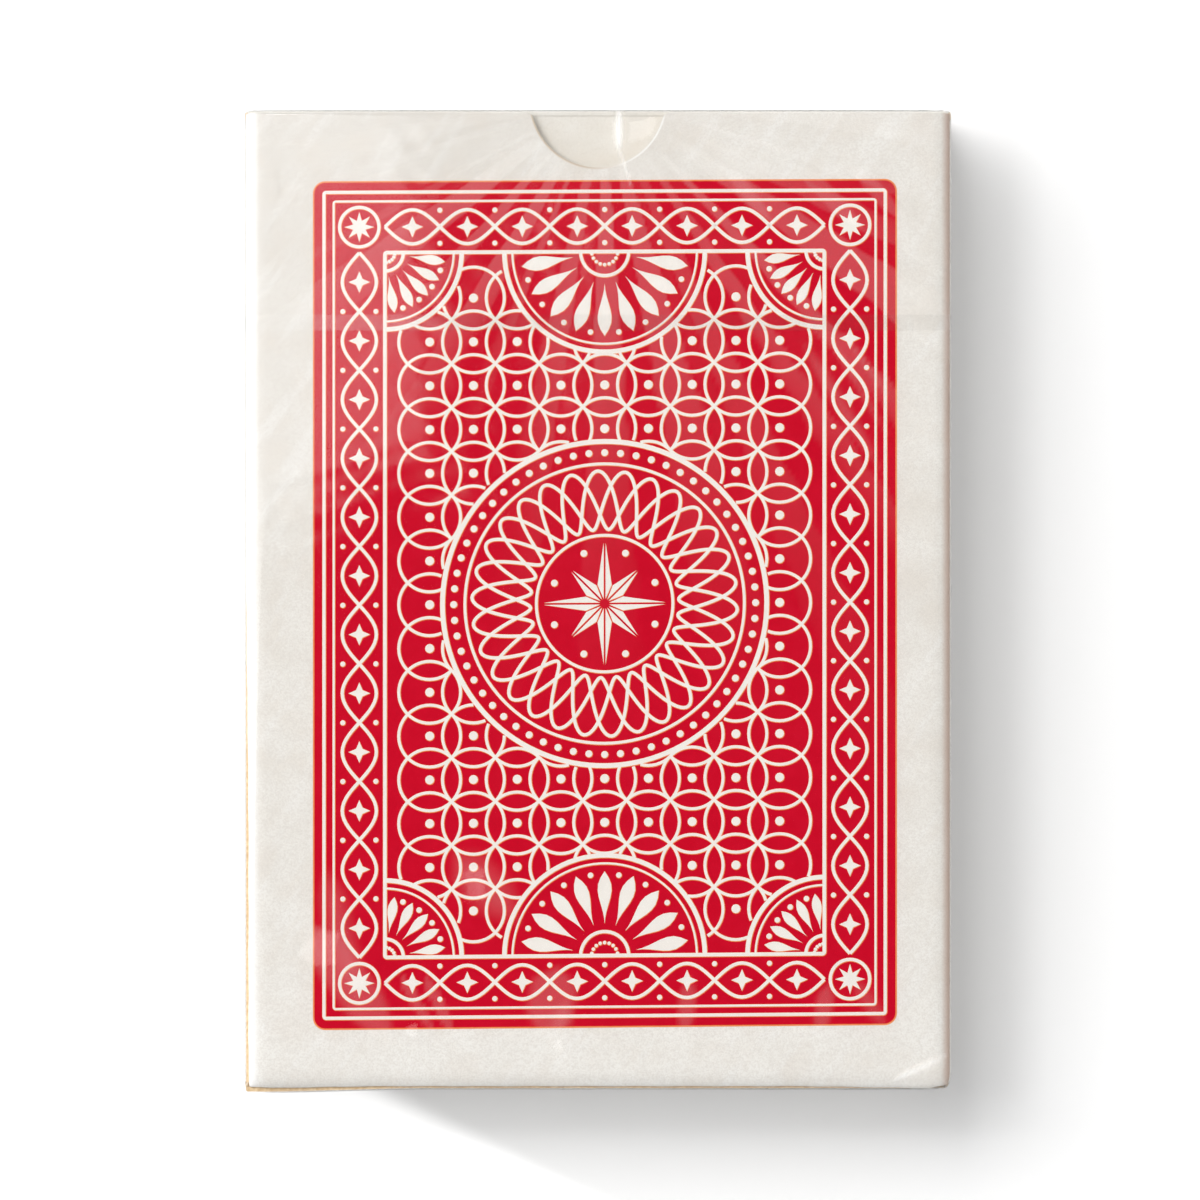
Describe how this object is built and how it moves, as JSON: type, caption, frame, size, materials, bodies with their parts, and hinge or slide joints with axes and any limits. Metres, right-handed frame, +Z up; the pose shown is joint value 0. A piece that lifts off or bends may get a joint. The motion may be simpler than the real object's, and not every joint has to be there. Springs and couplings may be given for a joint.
{
  "type": "playing card deck",
  "caption": "Boxed deck of poker-size playing cards: cards in a tuck carton with a thumb notch and tongue lid, sealed in clear film with a tear strip.",
  "frame": {"origin": "under the middle of the wrapped pack, on the surface that it lies on", "axes": "+X across the front from left to right, +Y along the pack to the lid, +Z up out of the printed front"},
  "size_m": [0.0664, 0.0922, 0.0186],
  "materials": {
    "board": "matte",
    "card_stock": "satin",
    "clear_film": "gloss"
  },
  "bodies": {
    "boxed_deck": {"carton": "board", "jokers": "card_stock", "ace_of_spades": "card_stock", "two_of_spades": "card_stock", "three_of_spades": "card_stock", "four_of_spades": "card_stock", "five_of_spades": "card_stock", "six_of_spades": "card_stock", "seven_of_spades": "card_stock", "eight_of_spades": "card_stock", "nine_of_spades": "card_stock", "ten_of_spades": "card_stock", "jack_of_spades": "card_stock", "queen_of_spades": "card_stock", "king_of_spades": "card_stock", "ace_of_diamonds": "card_stock", "two_of_diamonds": "card_stock", "three_of_diamonds": "card_stock", "four_of_diamonds": "card_stock", "five_of_diamonds": "card_stock", "six_of_diamonds": "card_stock", "seven_of_diamonds": "card_stock", "eight_of_diamonds": "card_stock", "nine_of_diamonds": "card_stock", "ten_of_diamonds": "card_stock", "jack_of_diamonds": "card_stock", "queen_of_diamonds": "card_stock", "king_of_diamonds": "card_stock", "ace_of_clubs": "card_stock", "two_of_clubs": "card_stock", "three_of_clubs": "card_stock", "four_of_clubs": "card_stock", "five_of_clubs": "card_stock", "six_of_clubs": "card_stock", "seven_of_clubs": "card_stock", "eight_of_clubs": "card_stock", "nine_of_clubs": "card_stock", "ten_of_clubs": "card_stock", "jack_of_clubs": "card_stock", "queen_of_clubs": "card_stock", "king_of_clubs": "card_stock", "ace_of_hearts": "card_stock", "two_of_hearts": "card_stock", "three_of_hearts": "card_stock", "four_of_hearts": "card_stock", "five_of_hearts": "card_stock", "six_of_hearts": "card_stock", "seven_of_hearts": "card_stock", "eight_of_hearts": "card_stock", "nine_of_hearts": "card_stock", "ten_of_hearts": "card_stock", "jack_of_hearts": "card_stock", "queen_of_hearts": "card_stock", "king_of_hearts": "card_stock"},
    "lid_panel": {"lid": "board"},
    "tongue": {"tuck_tongue": "board"},
    "left_flap": {"dust_flap_left": "board"},
    "right_flap": {"dust_flap_right": "board"},
    "film_top": {"film_cap": "clear_film"},
    "film_lower": {"film_sleeve": "clear_film"}
  },
  "joints": [
    {"name": "film_cap_pull", "type": "slide", "parent": "boxed_deck", "child": "film_top", "axis": [0, 1, 0], "range_m": [0, 0.09]},
    {"name": "film_sleeve_pull", "type": "slide", "parent": "boxed_deck", "child": "film_lower", "axis": [0, -1, 0], "range_m": [0, 0.08]},
    {"name": "lid_hinge", "type": "hinge", "parent": "boxed_deck", "child": "lid_panel", "pos_m": [0, 0.04583, 0.00014], "axis": [-1, 0, 0], "range_deg": [0, 90]},
    {"name": "tongue_fold", "type": "hinge", "parent": "lid_panel", "child": "tongue", "pos_m": [0, 0.04543, 0.01692], "axis": [1, 0, 0], "range_deg": [0, 54]},
    {"name": "left_flap_hinge", "type": "hinge", "parent": "boxed_deck", "child": "left_flap", "pos_m": [-0.03302, 0.04528, 0.00814], "axis": [0, 0, 1], "range_deg": [0, 36]},
    {"name": "right_flap_hinge", "type": "hinge", "parent": "boxed_deck", "child": "right_flap", "pos_m": [0.03302, 0.04528, 0.00814], "axis": [0, 0, -1], "range_deg": [0, 36]}
  ],
  "couplings": [
    {"joint": "lid_hinge", "follows": "film_cap_pull", "rad_per_m": 17.453},
    {"joint": "tongue_fold", "follows": "film_cap_pull", "rad_per_m": 10.472},
    {"joint": "left_flap_hinge", "follows": "film_cap_pull", "rad_per_m": 6.9813},
    {"joint": "right_flap_hinge", "follows": "film_cap_pull", "rad_per_m": 6.9813}
  ]
}
